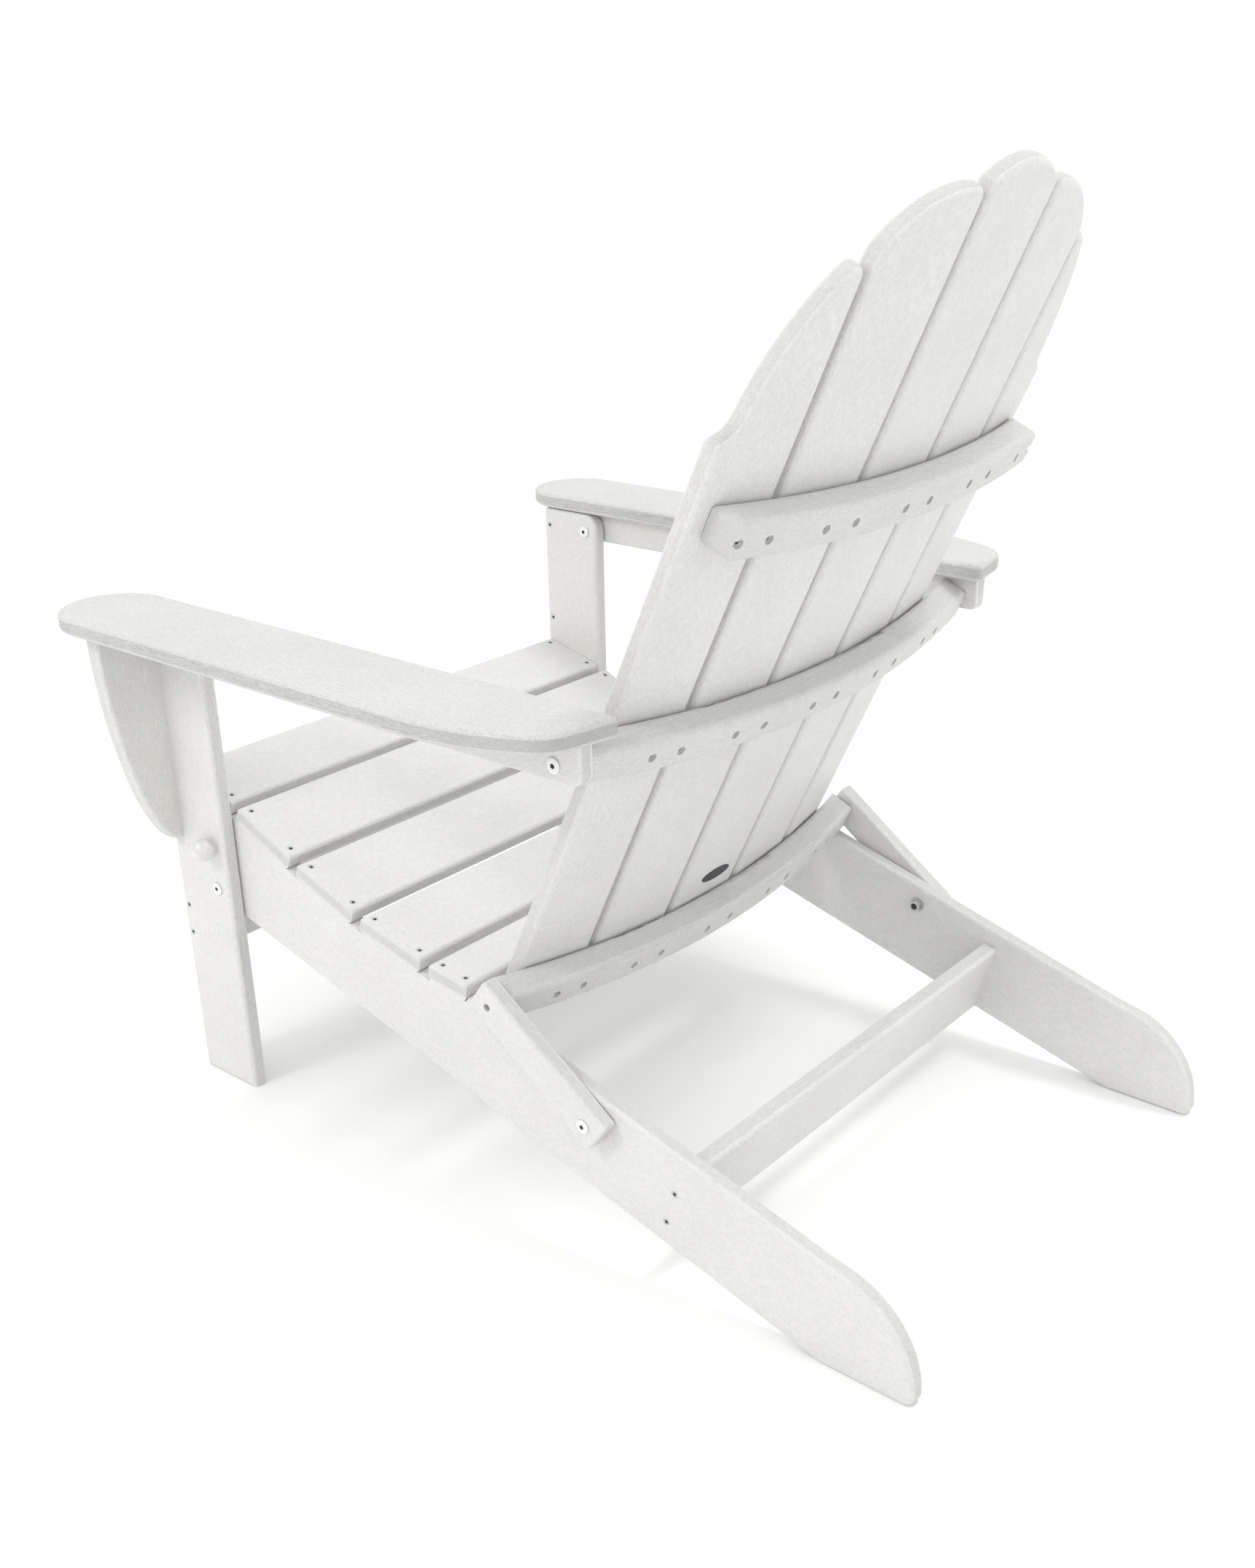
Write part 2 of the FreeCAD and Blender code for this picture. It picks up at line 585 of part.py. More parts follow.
def back_screw_spots(rise):
    """Each screw's head point on a support's rear curve, and the way it faces."""
    spots = []
    for turn, width in zip(slat_turns, widths):
        reach = width / 2 * 0.38
        for step in (-reach, reach):
            angle = math.radians(turn) + step / size.back_curve
            out = Vector(math.sin(angle), math.cos(angle), 0)
            spot = out * size.back_curve - Vector(0, size.back_curve, 0) + Vector(0, 0, rise)
            spots.append((back_place.multVec(spot), back_place.Rotation.multVec(out)))
    return spots


back_screw_hole = screw_hole(size.screw_length, size.recess_deep)
back_screws = {name: back_screw_spots(rise) for name, rise in support_rises.items()}
support_pin_deep = 34

for name, rise in support_rises.items():
    half, rear, front = support_halves[name], size.back_curve, front_curve

    def bow(x, radius):
        return flat(x, math.sqrt(radius ** 2 - x ** 2) - size.back_curve)

    outline = [arc(bow(-half, rear), bow(0, rear), bow(half, rear)),
               line(bow(half, rear), bow(half, front)),
               arc(bow(half, front), bow(0, front), bow(-half, front)),
               line(bow(-half, front), bow(-half, rear))]
    board = profile_board("back_support_" + name, "XY_Plane", outline, "Sizes.support_round",
                          Placement(), mid="Sizes.narrow_board")
    board.Placement = back_place.multiply(Placement(Vector(0, 0, rise), Rotation()))
    tools = [placed(back_screw_hole, spot, out) for spot, out in back_screws[name]]
    pin = {"lower": link_top, "middle": back_pivot}.get(name)
    if pin:
        tools += [bore(pin + Vector(s * half, 0, 0), Vector(s, 0, 0), support_pin_deep + 1, pin_hole)
                  for n, s in SIDES]
    drilled("back_support_" + name, board, tools)


def slat_top(kind, half):
    """The outline of a slat's top, from its outer edge to its inner edge (x outward)."""
    if kind == "middle":
        crown, corner = 86.0, 9.5
        turn = math.degrees(math.asin((half - corner) / (crown - corner)))
        drop = crown - (crown - corner) * math.cos(math.radians(turn))
        first, spot = bend(flat(half, size.middle_slat_top - drop), 90, corner, 90 - turn)
        brow, spot = bend(spot, 180 - turn, crown, 2 * turn)
        last, spot = bend(spot, 180 + turn, corner, 90 - turn)
        return [first, brow, last]
    if kind == "inner":
        outer, inner, turn = 30.0, 10.0, 40.0
        cosine, sine = math.cos(math.radians(turn)), math.sin(math.radians(turn))
        crown = (2 * half - inner - outer * (1 - cosine)) / cosine
        drop = outer * sine + crown * (1 - sine)
        first, spot = bend(flat(half, size.inner_slat_top - drop), 90, outer, turn)
        brow, spot = bend(spot, 90 + turn, crown, 90 - turn)
        last, low = bend(spot, 180, inner, 90)
        return [first, brow, last]
    top, low = size.outer_slat_top, size.shoulder_top
    heading, swing, tight = 118.0, 16.0, 9.5
    cusp, rim = bend(flat(half, low - tight), 90, tight, 72)
    for step in range(12):
        hollow, spot = bend(rim, 162, 20, heading - swing - 162)
        turn = math.radians(heading + swing)
        crest = flat(tight * (1 + math.sin(turn)) - half, top - tight * (1 + math.cos(turn)))
        heading = math.degrees(math.atan2(crest.y - spot.y, crest.x - spot.x))
    reach = (crest - spot).Length
    brow, crest = bend(spot, heading - swing, reach / 2 / math.sin(math.radians(swing)), 2 * swing)
    nose, end = bend(crest, heading + swing, tight, 270 - heading - swing)
    return [cusp, hollow, brow, nose]


for i, (turn, width) in enumerate(zip(slat_turns, widths)):
    half = width / 2
    kind = ("outer", "inner", "middle", "inner", "outer")[i]
    side = -1 if i > 2 else 1
    top_edges = slat_top(kind, half)
    start, end = top_edges[0].StartPoint, top_edges[-1].EndPoint
    outline = top_edges + [line(end, flat(-half, -size.slat_foot)),
                           line(flat(-half, -size.slat_foot), flat(half, -size.slat_foot)),
                           line(flat(half, -size.slat_foot), start)]
    if side < 0:
        mirror = FreeCAD.Matrix(-1, 0, 0, 0, 0, 1, 0, 0, 0, 0, 1, 0, 0, 0, 0, 1)
        for edge in outline:
            edge.transform(mirror)
    name = "back_slat_%d" % (i + 1)
    board = profile_board(name, "XZ_Plane", outline, "Sizes.slat_round", Placement())
    board.Placement = slat_place(turn, width)
    tools = []
    for support in support_rises:
        tools += [placed(back_screw_hole, spot, out) for spot, out in back_screws[support][2 * i:2 * i + 2]]
    drilled(name, board, tools)

badge = doc.addObject("Part::Feature", "badge_plate")
oval = Part.Ellipse(Vector(0, 0, 0), size.badge_half, size.badge_high / 2).toShape()
badge.Shape = Part.Face(Part.Wire(oval)).extrude(Vector(0, 0, size.badge_thick))
badge.Placement = slat_place(0, size.back_slat_width).multiply(
    Placement(Vector(size.badge_aside, 0, size.badge_above), Rotation(Vector(1, 0, 0), -90)))
badge.Label = "badge_plate"
parts["badge_plate"] = badge

# ---------------------------------------------------------------- rear links

link_turn = math.degrees(math.atan2(link_top.z - link_foot.z, link_top.y - link_foot.y))
link_length = (link_top - link_foot).Length
for side_name, side in SIDES:
    out = Vector(side, 0, 0)
    half, end = size.narrow_board / 2, size.link_end
    outline = rounded([flat(-end, -half), flat(link_length + end, -half), flat(link_length + end, half),
                       flat(-end, half)], [3.5, 3.5, 3.5, 3.5])
    board = profile_board("rear_link_" + side_name, "YZ_Plane", outline, "Sizes.edge_round - 2",
                          Placement())
    x_low = leg_in if side > 0 else -leg_out
    board.Placement = Placement(Vector(x_low, link_foot.y, link_foot.z), Rotation(Vector(1, 0, 0), link_turn))
    drilled("rear_link_" + side_name, board,
            [bore(point + out * leg_out, out, thick + 20, pin_hole) for point in (link_top, link_foot)])

# ---------------------------------------------------------------- fasteners

plain_screw = screw(size.screw_length)
long_screw = screw(size.screw_length + 14)
group("seat_screws", [placed(plain_screw, spot, up) for i, spot, up in screw_spots])
group("stretcher_screws", [placed(long_screw, spot + Vector(s * half_frame, 0, 0), Vector(s, 0, 0))
                           for spot in stretcher_spots for n, s in SIDES])
group("apron_screws", [placed(long_screw, spot + Vector(s * leg_out, 0, 0), Vector(s, 0, 0))
                       for spot in apron_spots for n, s in SIDES])
group("bracket_screws", [placed(long_screw, spot + Vector(s * leg_in, 0, 0), Vector(-s, 0, 0))
                         for spot in bracket_spots for n, s in SIDES])
rail_fixing = screw(rail_screw)
group("rail_screws", [placed(rail_fixing, spot + Vector(s * (rail_in + thick / 2), 0, 0), Vector(0, 0, -1))
                      for spot in rail_spots for n, s in SIDES])
for name, spots in back_screws.items():
    group("back_screws_" + name, [placed(plain_screw, spot - out * size.recess_deep, out) for spot, out in spots])

through_bolt = bolt(long_bolt)
washer, lock_nut = nut()
group("leg_pivot_bolts", [placed(through_bolt, leg_pivot + Vector(s * leg_out, 0, 0), Vector(s, 0, 0))
                          for n, s in SIDES])
group("link_foot_bolts", [placed(through_bolt, link_foot + Vector(s * leg_out, 0, 0), Vector(s, 0, 0))
                          for n, s in SIDES])
group("arm_pivot_bolts", [placed(through_bolt, arm_pivot + Vector(s * leg_in, 0, 0), Vector(-s, 0, 0))
                          for n, s in SIDES])
for name, point, face, way in (("leg_pivot_nuts", leg_pivot, inner_half, -1),
                               ("link_foot_nuts", link_foot, inner_half, -1),
                               ("arm_pivot_nuts", arm_pivot, rail_out, 1)):
    group(name, [placed(piece, point + Vector(s * face, 0, 0), Vector(s * way, 0, 0))
                 for n, s in SIDES for piece in (washer, lock_nut)])
back_bolt = bolt(thick + size.side_gap + support_pin_deep)
group("back_pivot_bolts", [placed(back_bolt, back_pivot + Vector(s * rail_out, 0, 0), Vector(s, 0, 0))
                           for n, s in SIDES])
link_bolt = bolt(thick)
group("link_top_bolts", [placed(link_bolt, link_top + Vector(s * leg_out, 0, 0), Vector(s, 0, 0))
                         for n, s in SIDES])

# ---------------------------------------------------------------- locking pegs

for side_name, side in SIDES:
    reach = thick + size.side_gap + size.peg_engage
    ball, pin = size.ball_radius, size.peg_radius
    collar = 3
    rise = math.sqrt(ball ** 2 - (pin + 2) ** 2)
    shank = turned([(0, collar), (pin + 2, collar), (pin + 2, 0), (pin, 0), (pin, 1 - reach), (pin - 1, -reach),
                    (0, -reach)])
    knob = Part.makeSphere(ball, Vector(0, 0, collar + rise))
    peg = placed(shank.fuse(knob), peg_centre + Vector(side * leg_out, 0, 0), Vector(side, 0, 0))
    feature = doc.addObject("Part::Feature", "locking_peg_" + side_name)
    feature.Shape = peg
    feature.Label = "locking_peg_" + side_name
    parts["locking_peg_" + side_name] = feature

# ---------------------------------------------------------------- checks and files

doc.recompute()
failed = [o.Name for o in doc.Objects if "Invalid" in o.State or "Error" in o.State]
if failed:
    raise RuntimeError("failed features: %s" % failed)
for name, piece in parts.items():
    shape = piece.Shape
    if shape.isNull() or not shape.isValid() or not shape.Solids:
        raise RuntimeError("bad shape: " + name)
if len(parts) > 60:
    raise RuntimeError("too many nodes")
os.makedirs("parts", exist_ok=True)
for name, piece in parts.items():
    piece.Shape.exportStep("parts/" + name + ".step")
    box = piece.Shape.optimalBoundingBox(False)
    print("%-22s %d solids  x %.1f..%.1f  y %.1f..%.1f  z %.1f..%.1f" % (
        name, len(piece.Shape.Solids), box.XMin, box.XMax, box.YMin, box.YMax, box.ZMin, box.ZMax))
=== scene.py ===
"""A folding adirondack chair of white plastic boards, dressed for a studio picture."""

import math

import bpy
import numpy as np
from mathutils import Matrix, Vector


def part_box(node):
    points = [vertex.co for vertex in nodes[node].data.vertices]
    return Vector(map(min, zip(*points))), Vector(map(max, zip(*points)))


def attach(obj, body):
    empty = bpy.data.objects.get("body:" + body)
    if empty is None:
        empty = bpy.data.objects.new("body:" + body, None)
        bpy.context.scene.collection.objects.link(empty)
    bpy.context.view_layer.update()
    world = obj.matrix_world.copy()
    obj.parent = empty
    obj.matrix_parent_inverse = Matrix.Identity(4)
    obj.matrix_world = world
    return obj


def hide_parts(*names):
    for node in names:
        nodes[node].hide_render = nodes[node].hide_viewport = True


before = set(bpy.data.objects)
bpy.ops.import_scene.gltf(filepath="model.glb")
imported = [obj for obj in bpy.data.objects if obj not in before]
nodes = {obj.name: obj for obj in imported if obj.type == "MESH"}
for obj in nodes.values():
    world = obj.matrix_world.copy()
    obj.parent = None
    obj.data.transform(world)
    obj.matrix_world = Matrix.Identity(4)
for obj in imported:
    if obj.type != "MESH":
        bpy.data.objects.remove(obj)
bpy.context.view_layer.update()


# ------------------------------------------------------------------ camera and light

CAMERA_TURN = (130.05, 26.03, -0.96)  # azimuth, elevation and roll, degrees
CAMERA_TARGET = (0.03461, -0.0337, 0.22386)
CAMERA_DISTANCE = 1.84892
LENS_MM = 47.5053913043
LENS_SHIFT = (-0.0030434783, 0.0990724638)
BOX_TARGET = (0, 0, 0.4)

def aim_camera():
    """The camera stands behind the chair, above it and to the sitter's left."""
    azimuth, elevation, roll = map(math.radians, CAMERA_TURN)
    back = Vector((math.sin(azimuth) * math.cos(elevation), -math.cos(azimuth) * math.cos(elevation),
                   math.sin(elevation)))
    place = Vector(CAMERA_TARGET) + back * CAMERA_DISTANCE
    right = (-back).cross(Vector((0, 0, 1))).normalized()
    up = right.cross(-back)
    tilted_right = right * math.cos(roll) + up * math.sin(roll)
    tilted_up = up * math.cos(roll) - right * math.sin(roll)
    data = bpy.data.cameras.new("studio_camera")
    data.sensor_fit = "HORIZONTAL"
    data.sensor_width = 36.0
    data.lens = LENS_MM
    data.shift_x, data.shift_y = LENS_SHIFT
    data.clip_start, data.clip_end = 0.05, 60
    camera = bpy.data.objects.new("studio_camera", data)
    turn = Matrix((tilted_right, tilted_up, back)).transposed().to_4x4()
    camera.matrix_world = Matrix.Translation(place) @ turn
    bpy.context.scene.collection.objects.link(camera)
    bpy.context.scene.camera = camera


def soft_light(name, place, target, size, watts, warmth=(1.0, 1.0, 1.0)):
    """A square soft box aimed at a point."""
    data = bpy.data.lights.new(name, "AREA")
    data.shape = "SQUARE"
    data.size = size
    data.energy = watts
    data.color = warmth
    light = bpy.data.objects.new(name, data)
    aim = (Vector(target) - Vector(place)).to_track_quat("-Z", "Y")
    light.matrix_world = Matrix.Translation(place) @ aim.to_matrix().to_4x4()
    bpy.context.scene.collection.objects.link(light)


def studio():
    """A pale floor that runs to the horizon, a bright even sky and two soft boxes."""
    mesh = bpy.data.meshes.new("studio_floor")
    side = 30.0
    corners = [(-side, -side, 0), (side, -side, 0), (side, side, 0), (-side, side, 0)]
    mesh.from_pydata(corners, [], [(0, 1, 2, 3)])
    floor = bpy.data.objects.new("studio_floor", mesh)
    bpy.context.scene.collection.objects.link(floor)
    paint = bpy.data.materials.new("studio_floor")
    paint.use_nodes = True
    shader = paint.node_tree.nodes["Principled BSDF"]
    shader.inputs["Base Color"].default_value = (0.985, 0.985, 0.985, 1)
    shader.inputs["Roughness"].default_value = 0.9
    shader.inputs["Specular IOR Level"].default_value = 0.1
    mesh.materials.append(paint)
    world = bpy.data.worlds.new("studio_sky")
    world.use_nodes = True
    sky = world.node_tree.nodes["Background"]
    sky.inputs["Color"].default_value = (1.0, 1.0, 1.0, 1)
    sky.inputs["Strength"].default_value = 1.0
    bpy.context.scene.world = world
    bpy.context.scene.view_settings.view_transform = "Standard"
    bpy.context.scene.view_settings.exposure = 0.07
    soft_light("key_box", (2.2, -0.7, 2.2), BOX_TARGET, 0.7, 15, (1.0, 0.99, 0.97))
    soft_light("top_box", (-1.0, 1.0, 3.1), BOX_TARGET, 0.7, 20)


# ------------------------------------------------------------------ shader node helpers

def joined(tree, source, target):
    tree.links.new(source, target)


def add(tree, kind, **values):
    """A node with its properties set by name."""
    node = tree.nodes.new(kind)
    for key, value in values.items():
        setattr(node, key, value)
    return node


def sum_of(tree, operation, first, second):
    """A Math node that takes sockets or plain numbers."""
    node = add(tree, "ShaderNodeMath", operation=operation)
    for slot, value in zip(node.inputs, (first, second)):
        if isinstance(value, (int, float)):
            slot.default_value = value
        else:
            joined(tree, value, slot)
    return node.outputs[0]


def stretched(tree, source, scale):
    """Coordinates multiplied by one factor per axis."""
    node = add(tree, "ShaderNodeVectorMath", operation="MULTIPLY")
    joined(tree, source, node.inputs[0])
    node.inputs[1].default_value = scale
    return node.outputs[0]


def noise(tree, source, scale, detail=2.0, roughness=0.5, distortion=0.0):
    node = add(tree, "ShaderNodeTexNoise", noise_dimensions="3D")
    joined(tree, source, node.inputs["Vector"])
    node.inputs["Scale"].default_value = scale
    node.inputs["Detail"].default_value = detail
    node.inputs["Roughness"].default_value = roughness
    node.inputs["Distortion"].default_value = distortion
    return node.outputs["Fac"]


def spread(tree, source, low, high, to_low=0.0, to_high=1.0):
    """A Map Range node: low..high goes to to_low..to_high, held at the ends."""
    node = add(tree, "ShaderNodeMapRange", clamp=True)
    joined(tree, source, node.inputs["Value"])
    for name, value in (("From Min", low), ("From Max", high), ("To Min", to_low), ("To Max", to_high)):
        node.inputs[name].default_value = value
    return node.outputs["Result"]


def grain_group():
    """Embossed board grain. Length runs along X of the vector put in, thickness along Z.

    Height = Pits * (0.6 noise + 0.4 cells) + Fibres * fibres + Saw * streaks, with the fibres stretched
    eleven to one along the board and the streaks forty to one. Tone = 0.8 (0.6 noise + 0.4 cells) +
    0.2 slow cloud. Gloss follows the sum of the noise and the streaks.
    """
    group = bpy.data.node_groups.new("board_grain", "ShaderNodeTree")
    face = group.interface
    for name, kind, start in (("Vector", "NodeSocketVector", None), ("Pits", "NodeSocketFloat", 0.5),
                              ("Fibres", "NodeSocketFloat", 0.5), ("Saw", "NodeSocketFloat", 0.0)):
        socket = face.new_socket(name=name, in_out="INPUT", socket_type=kind)
        if start is not None:
            socket.default_value = start
    for name in ("Height", "Tone", "Gloss"):
        face.new_socket(name=name, in_out="OUTPUT", socket_type="NodeSocketFloat")
    start = add(group, "NodeGroupInput")
    end = add(group, "NodeGroupOutput")
    spot = start.outputs["Vector"]
    pits = noise(group, stretched(group, spot, (0.7, 1.0, 1.0)), 620, 3.0, 0.62, 0.3)
    pits = spread(group, pits, 0.32, 0.68)
    cells = add(group, "ShaderNodeTexVoronoi", feature="SMOOTH_F1")
    joined(group, stretched(group, spot, (0.55, 1.0, 1.0)), cells.inputs["Vector"])
    cells.inputs["Scale"].default_value = 330
    cells.inputs["Smoothness"].default_value = 0.6
    leather = spread(group, cells.outputs["Distance"], 0.1, 0.75)
    fibres = noise(group, stretched(group, spot, (0.09, 1.0, 1.0)), 520, 3.0, 0.6, 0.2)
    fibres = spread(group, fibres, 0.3, 0.7)
    streaks = noise(group, stretched(group, spot, (0.025, 1.0, 1.0)), 780, 4.0, 0.7, 0.1)
    streaks = spread(group, streaks, 0.35, 0.65)
    deep = sum_of(group, "ADD", sum_of(group, "MULTIPLY", pits, 0.6), sum_of(group, "MULTIPLY", leather, 0.4))
    height = sum_of(group, "MULTIPLY", deep, start.outputs["Pits"])
    height = sum_of(group, "ADD", height, sum_of(group, "MULTIPLY", fibres, start.outputs["Fibres"]))
    height = sum_of(group, "ADD", height, sum_of(group, "MULTIPLY", streaks, start.outputs["Saw"]))
    cloud = spread(group, noise(group, spot, 9, 3.0, 0.55), 0.35, 0.65)
    joined(group, height, end.inputs["Height"])
    joined(group, sum_of(group, "ADD", sum_of(group, "MULTIPLY", cloud, 0.2),
                         sum_of(group, "MULTIPLY", deep, 0.8)), end.inputs["Tone"])
    joined(group, spread(group, sum_of(group, "ADD", pits, streaks), 0.4, 1.6), end.inputs["Gloss"])
    return group


def side_group():
    """Tells a board's sawn sides from its faces: 1 where the distance from the board's middle plane,
    along Z of the vector put in, is less than the half thickness less the rounding."""
    group = bpy.data.node_groups.new("sawn_side", "ShaderNodeTree")
    face = group.interface
    face.new_socket(name="Vector", in_out="INPUT", socket_type="NodeSocketVector")
    socket = face.new_socket(name="Half", in_out="INPUT", socket_type="NodeSocketFloat")
    socket.default_value = 0.0055
    face.new_socket(name="Side", in_out="OUTPUT", socket_type="NodeSocketFloat")
    start = add(group, "NodeGroupInput")
    end = add(group, "NodeGroupOutput")
    split = add(group, "ShaderNodeSeparateXYZ")
    joined(group, start.outputs["Vector"], split.inputs[0])
    away = sum_of(group, "ABSOLUTE", split.outputs["Z"], 0.0)
    gap = sum_of(group, "SUBTRACT", start.outputs["Half"], away)
    joined(group, spread(group, gap, -0.0006, 0.0006), end.inputs["Side"])
    return group


GRAIN = grain_group()
SIDE = side_group()


def board_finish(name, along, thin, middle, pits, fibres, saw=0.8, depth=0.0005,
                 rough=(0.40, 0.56), half=0.0055):
    """White plastic lumber. along is the board's length, thin its thickness, middle a point in its
    middle plane; the pattern's own axes are laid on those with a Mapping node."""
    paint = bpy.data.materials.new(name)
    paint.use_nodes = True
    tree = paint.node_tree
    shader = tree.nodes["Principled BSDF"]
    shader.inputs["IOR"].default_value = 1.5
    shader.inputs["Specular IOR Level"].default_value = 0.5
    along, thin = Vector(along).normalized(), Vector(thin).normalized()
    across = thin.cross(along).normalized()
    turn = Matrix((along, across, thin))
    places = add(tree, "ShaderNodeTexCoord")
    mapped = add(tree, "ShaderNodeMapping", vector_type="POINT")
    joined(tree, places.outputs["Object"], mapped.inputs["Vector"])
    mapped.inputs["Rotation"].default_value = turn.to_euler("XYZ")
    mapped.inputs["Location"].default_value = -(turn @ Vector(middle))
    grain = add(tree, "ShaderNodeGroup", node_tree=GRAIN)
    side = add(tree, "ShaderNodeGroup", node_tree=SIDE)
    joined(tree, mapped.outputs["Vector"], grain.inputs["Vector"])
    joined(tree, mapped.outputs["Vector"], side.inputs["Vector"])
    side.inputs["Half"].default_value = half
    sawn = side.outputs["Side"]
    on_face = sum_of(tree, "SUBTRACT", 1.0, sawn)
    joined(tree, sum_of(tree, "MULTIPLY", on_face, pits), grain.inputs["Pits"])
    joined(tree, sum_of(tree, "ADD", sum_of(tree, "MULTIPLY", on_face, fibres), 0.08), grain.inputs["Fibres"])
    joined(tree, sum_of(tree, "MULTIPLY", sawn, saw), grain.inputs["Saw"])
    tone = add(tree, "ShaderNodeMix", data_type="RGBA")
    joined(tree, grain.outputs["Tone"], tone.inputs["Factor"])
    tone.inputs["A"].default_value = (0.61, 0.603, 0.58, 1)
    tone.inputs["B"].default_value = (0.765, 0.76, 0.74, 1)
    joined(tree, tone.outputs["Result"], shader.inputs["Base Color"])
    dullness = spread(tree, grain.outputs["Gloss"], 0.0, 1.0, rough[1], rough[0])
    joined(tree, dullness, shader.inputs["Roughness"])
    bump = add(tree, "ShaderNodeBump")
    bump.inputs["Strength"].default_value = 1.0
    bump.inputs["Distance"].default_value = depth
    joined(tree, grain.outputs["Height"], bump.inputs["Height"])
    joined(tree, bump.outputs["Normal"], shader.inputs["Normal"])
    return paint


def finish_node(name, paint):
    """Gives a CAD piece one finish in place of any it had."""
    piece = nodes[name]
    piece.data.materials.clear()
    piece.data.materials.append(paint)


X, Y, Z = Vector((1, 0, 0)), Vector((0, 1, 0)), Vector((0, 0, 1))


def slanted(degrees):
    """A direction in the side view: along +Y at 0 degrees, up at 90."""
    return Vector((0, math.cos(math.radians(degrees)), math.sin(math.radians(degrees))))


def centre(name):
    low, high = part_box(name)
    return (low + high) / 2


aim_camera()
studio()

def dress(name, along, thin, pits, fibres, **rest):
    """A board's own finish, laid out from the middle of its box."""
    finish_node(name, board_finish(name, along, thin, centre(name), pits, fibres, **rest))


RISE = 15.4
BACK_LEAN = math.radians(24.2)
LINK_SLOPE = -35.7
SEAT_SLOPES = (13.6, 24.5, 20.2, 13.5, 7.7)
BACK_TURNS = (9.7, 4.9, 0.0, -4.9, -9.7)
UNCUT = 0.5  # a half thickness past any board's edge, so that the whole board counts as sawn

for side in ("left", "right"):
    dress("stringer_" + side, slanted(-RISE), X, 0.25, 0.45)
    dress("front_leg_" + side, Z, X, 0.3, 0.4)
    dress("arm_" + side, Y, Z, 1.0, 0.25, depth=0.0012)
    dress("arm_rail_" + side, Y, X, 0.25, 0.4)
    dress("arm_bracket_" + side, Z, Y, 0.3, 0.4)
    dress("rear_link_" + side, slanted(LINK_SLOPE), X, 0.3, 0.4)
for number, slope in enumerate(SEAT_SLOPES, start=1):
    dress("seat_slat_%d" % number, X, slanted(90 - slope), 0.3, 0.5)
up = Vector((0, math.sin(BACK_LEAN), math.cos(BACK_LEAN)))
for number, turn in enumerate(BACK_TURNS, start=1):
    forward = math.cos(math.radians(turn))
    out = Vector((math.sin(math.radians(turn)), forward * math.cos(BACK_LEAN),
                  -forward * math.sin(BACK_LEAN)))
    dress("back_slat_%d" % number, up, out, 0.3, 0.45)
dress("rear_stretcher", X, slanted(180 - RISE), 0.3, 0.5)
dress("front_apron", X, Y, 0.3, 0.5)
for level in ("lower", "middle", "upper"):
    dress("back_support_" + level, X, Y, 0.3, 0.5, half=UNCUT)


# ------------------------------------------------------------------ fasteners

def islands(name):
    """The separate solids of a CAD piece, as a list of point clouds.

    Corners in the same place are one corner, and each takes the lowest number found on any triangle
    it shares until nothing changes.
    """
    mesh = nodes[name].data
    spots = np.zeros(len(mesh.vertices) * 3)
    mesh.vertices.foreach_get("co", spots)
    spots = spots.reshape(-1, 3)
    keys, first, back = np.unique(np.round(spots * 1e6).astype(np.int64), axis=0, return_index=True,
                                  return_inverse=True)
    corners = np.zeros(len(mesh.loops), np.int64)
    mesh.loops.foreach_get("vertex_index", corners)
    faces = back.reshape(-1)[corners].reshape(-1, 3)
    label = np.arange(len(keys))
    while True:
        low = label[faces].min(axis=1)
        new = label.copy()
        for k in range(3):
            np.minimum.at(new, faces[:, k], low)
        if np.array_equal(new, label):
            break
        label = new
    points = spots[first]
    return [points[label == k] for k in np.unique(label)]


def head_of(cloud):
    """The middle of a fastener's head and the way it faces: along the cloud's longest axis, at the
    end where the cloud is widest."""
    axis = np.linalg.svd(cloud - cloud.mean(axis=0), full_matrices=False)[2][0]
    middle = cloud.mean(axis=0)
    along = (cloud - middle) @ axis
    wide = np.linalg.norm(cloud - middle - along[:, None] * axis, axis=1)
    if along[np.argmax(wide)] < 0:
        axis, along = -axis, -along
    return middle + axis * along.max(), axis


def turned_head(profile, socket, deep, lobes=6, around=36, rim=None):
    """Rings of a round head with a star socket, outside first.

    Each ring is radius(angle) and height: the profile's rings are round, and the socket's two rings
    follow r = socket * (1 + 0.13 cos(lobes * angle)), the lower one narrower. The last point is the
    middle of the socket's floor. Returns the points, the faces and which faces are dark: those in the
    socket and, if rim is given, the band above profile ring number rim. The dark faces are painted
    shade: the shade in the socket's recess and in the crease at the rim band.
    """
    angle = np.linspace(0, 2 * np.pi, around, endpoint=False)
    star = socket * (1 + 0.13 * np.cos(lobes * angle))
    top = profile[-1][1]
    rings = [(np.full(around, r), z) for r, z in profile]
    rings += [(star * 1.06, top), (star, top - 0.12 * deep), (star * 0.93, top - deep)]
    points = np.concatenate([np.stack([r * np.cos(angle), r * np.sin(angle), np.full(around, z)], axis=1)
                             for r, z in rings] + [np.array([[0, 0, top - deep * 1.12]])])
    faces, dark = [], []
    step = np.arange(around)
    after = (step + 1) % around
    for k in range(len(rings) - 1):
        low, high = k * around, (k + 1) * around
        quads = np.stack([low + step, low + after, high + after, high + step], axis=1)
        faces += quads.tolist()
        # Socket faces and the rim band take the near-black paint: painted shade in the recess and in the
        # crease under the head.
        dark += [k >= len(profile) or k == rim] * around
    last = (len(rings) - 1) * around
    faces += np.stack([last + step, last + after, np.full(around, len(points) - 1)], axis=1).tolist()
    dark += [True] * around
    return points, faces, dark


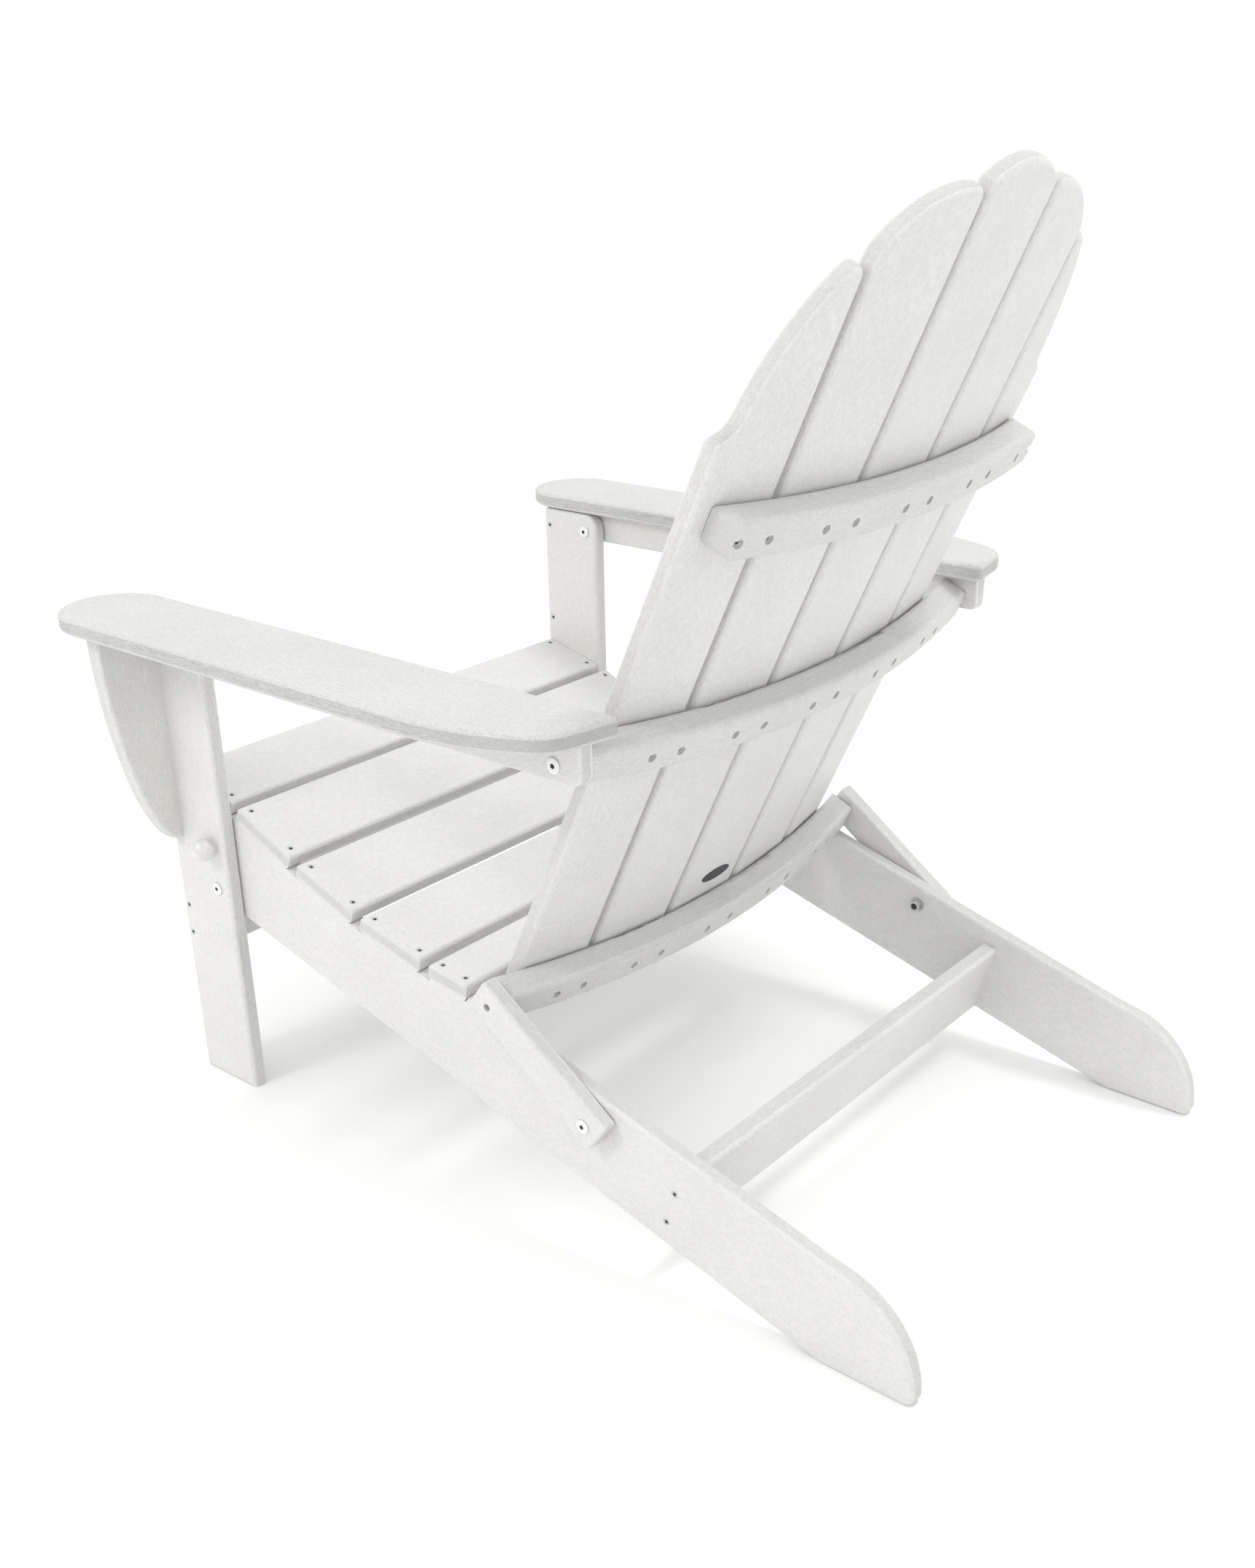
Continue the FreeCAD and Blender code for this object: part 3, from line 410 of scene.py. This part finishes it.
def fastener_set(name, node, shape, body, paint):
    """One piece with a copy of the head at each fastener of a CAD node, turned to face outward."""
    points, faces, dark = shape
    spots, quads, marks = [], [], []
    count = 0
    for index, cloud in enumerate(islands(node)):
        place, axis = head_of(cloud)
        side = np.cross(axis, (0.0, 0.0, 1.0) if abs(axis[2]) < 0.9 else (1.0, 0.0, 0.0))
        side /= np.linalg.norm(side)
        spin = 1.7 * index
        first = side * math.cos(spin) + np.cross(axis, side) * math.sin(spin)
        second = np.cross(axis, first)
        spots.append(place + points @ np.stack([first, second, axis]))
        quads += [[corner + count for corner in face] for face in faces]
        marks += dark
        count += len(points)
    mesh = bpy.data.meshes.new(name)
    mesh.from_pydata(np.concatenate(spots).tolist(), [], quads)
    mesh.materials.append(paint)
    mesh.materials.append(SOCKET_SHADE)
    mesh.polygons.foreach_set("material_index", np.array(marks, np.int32))
    mesh.polygons.foreach_set("use_smooth", np.ones(len(quads), bool))
    mesh.update()
    piece = bpy.data.objects.new(name, mesh)
    bpy.context.scene.collection.objects.link(piece)
    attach(piece, body)
    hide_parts(node)
    return piece


def metal(name, colour, metallic, rough, mottled=0.04, scale=900):
    """A small fastener's finish: a fine mottle moves its colour and roughness a little."""
    paint = bpy.data.materials.new(name)
    paint.use_nodes = True
    tree = paint.node_tree
    shader = tree.nodes["Principled BSDF"]
    shader.inputs["Metallic"].default_value = metallic
    places = add(tree, "ShaderNodeTexCoord")
    speck = noise(tree, places.outputs["Object"], scale, 3.0, 0.6)
    tone = add(tree, "ShaderNodeMix", data_type="RGBA")
    joined(tree, speck, tone.inputs["Factor"])
    tone.inputs["A"].default_value = [c * (1 - mottled * 3) for c in colour] + [1]
    tone.inputs["B"].default_value = [min(c * (1 + mottled * 3), 1.0) for c in colour] + [1]
    joined(tree, tone.outputs["Result"], shader.inputs["Base Color"])
    joined(tree, spread(tree, speck, 0.3, 0.7, rough - 0.07, rough + 0.09), shader.inputs["Roughness"])
    bump = add(tree, "ShaderNodeBump")
    bump.inputs["Strength"].default_value = 0.35
    bump.inputs["Distance"].default_value = 0.0002
    joined(tree, speck, bump.inputs["Height"])
    joined(tree, bump.outputs["Normal"], shader.inputs["Normal"])
    return paint


# Near-black paint for the socket recesses and the bolts' rim band: painted shade, not the fasteners' own
# colour.
SOCKET_SHADE = metal("socket_shadow", (0.09, 0.09, 0.095), 0.3, 0.55)
BOLT = metal("coated_bolt", (0.80, 0.80, 0.79), 0.15, 0.34)
STEEL = metal("bare_steel", (0.56, 0.56, 0.55), 0.85, 0.4, 0.08)
BADGE = metal("badge_plate", (0.035, 0.035, 0.04), 0.3, 0.36, 0.1, 500)

MM = 0.001


def in_metres(profile):
    """A head's profile, given in millimetres."""
    return [(r * MM, z * MM) for r, z in profile]


SCREW_PROFILE = [(2.6, -2.0), (3.75, -0.75), (3.95, -0.5), (3.7, -0.36), (2.9, -0.3)]
BOLT_PROFILE = [(8.3, -5.5), (8.3, -4.9), (8.1, -4.75), (7.6, -4.85), (7.55, -4.3), (7.3, -3.7),
                (6.7, -3.4), (5.6, -3.2), (4.3, -3.05), (3.2, -3.0)]
# The band above this profile ring, the step between washer and head, is painted near black as shade in that
# crease.
BOLT_RIM = 3
SCREW_NODES = [("seat_screws", "seat_frame"), ("stretcher_screws", "seat_frame"),
               ("apron_screws", "front_legs"), ("bracket_screws", "front_legs"),
               ("rail_screws", "arms"), ("back_screws_lower", "back"),
               ("back_screws_middle", "back"), ("back_screws_upper", "back")]
BOLT_NODES = [("leg_pivot_bolts", "seat_frame"), ("link_foot_bolts", "seat_frame"),
              ("arm_pivot_bolts", "front_legs"), ("back_pivot_bolts", "back"),
              ("link_top_bolts", "rear_links")]

screw_head = turned_head(in_metres(SCREW_PROFILE), 1.7 * MM, 1.5 * MM)
bolt_head = turned_head(in_metres(BOLT_PROFILE), 2.2 * MM, 2.0 * MM, rim=BOLT_RIM)
for node, body in SCREW_NODES:
    fastener_set(node.replace("screws", "screw_heads"), node, screw_head, body, STEEL)
for node, body in BOLT_NODES:
    fastener_set(node.replace("bolts", "bolt_heads"), node, bolt_head, body, BOLT)
for node in ("leg_pivot_nuts", "link_foot_nuts", "arm_pivot_nuts"):
    finish_node(node, STEEL)
finish_node("badge_plate", BADGE)
for side in ("left", "right"):
    name = "locking_peg_" + side
    finish_node(name, board_finish("peg_" + side, X, Z, centre(name), 0.05, 0.02, saw=0.0,
                                   depth=0.0002, rough=(0.24, 0.32), half=0.0))
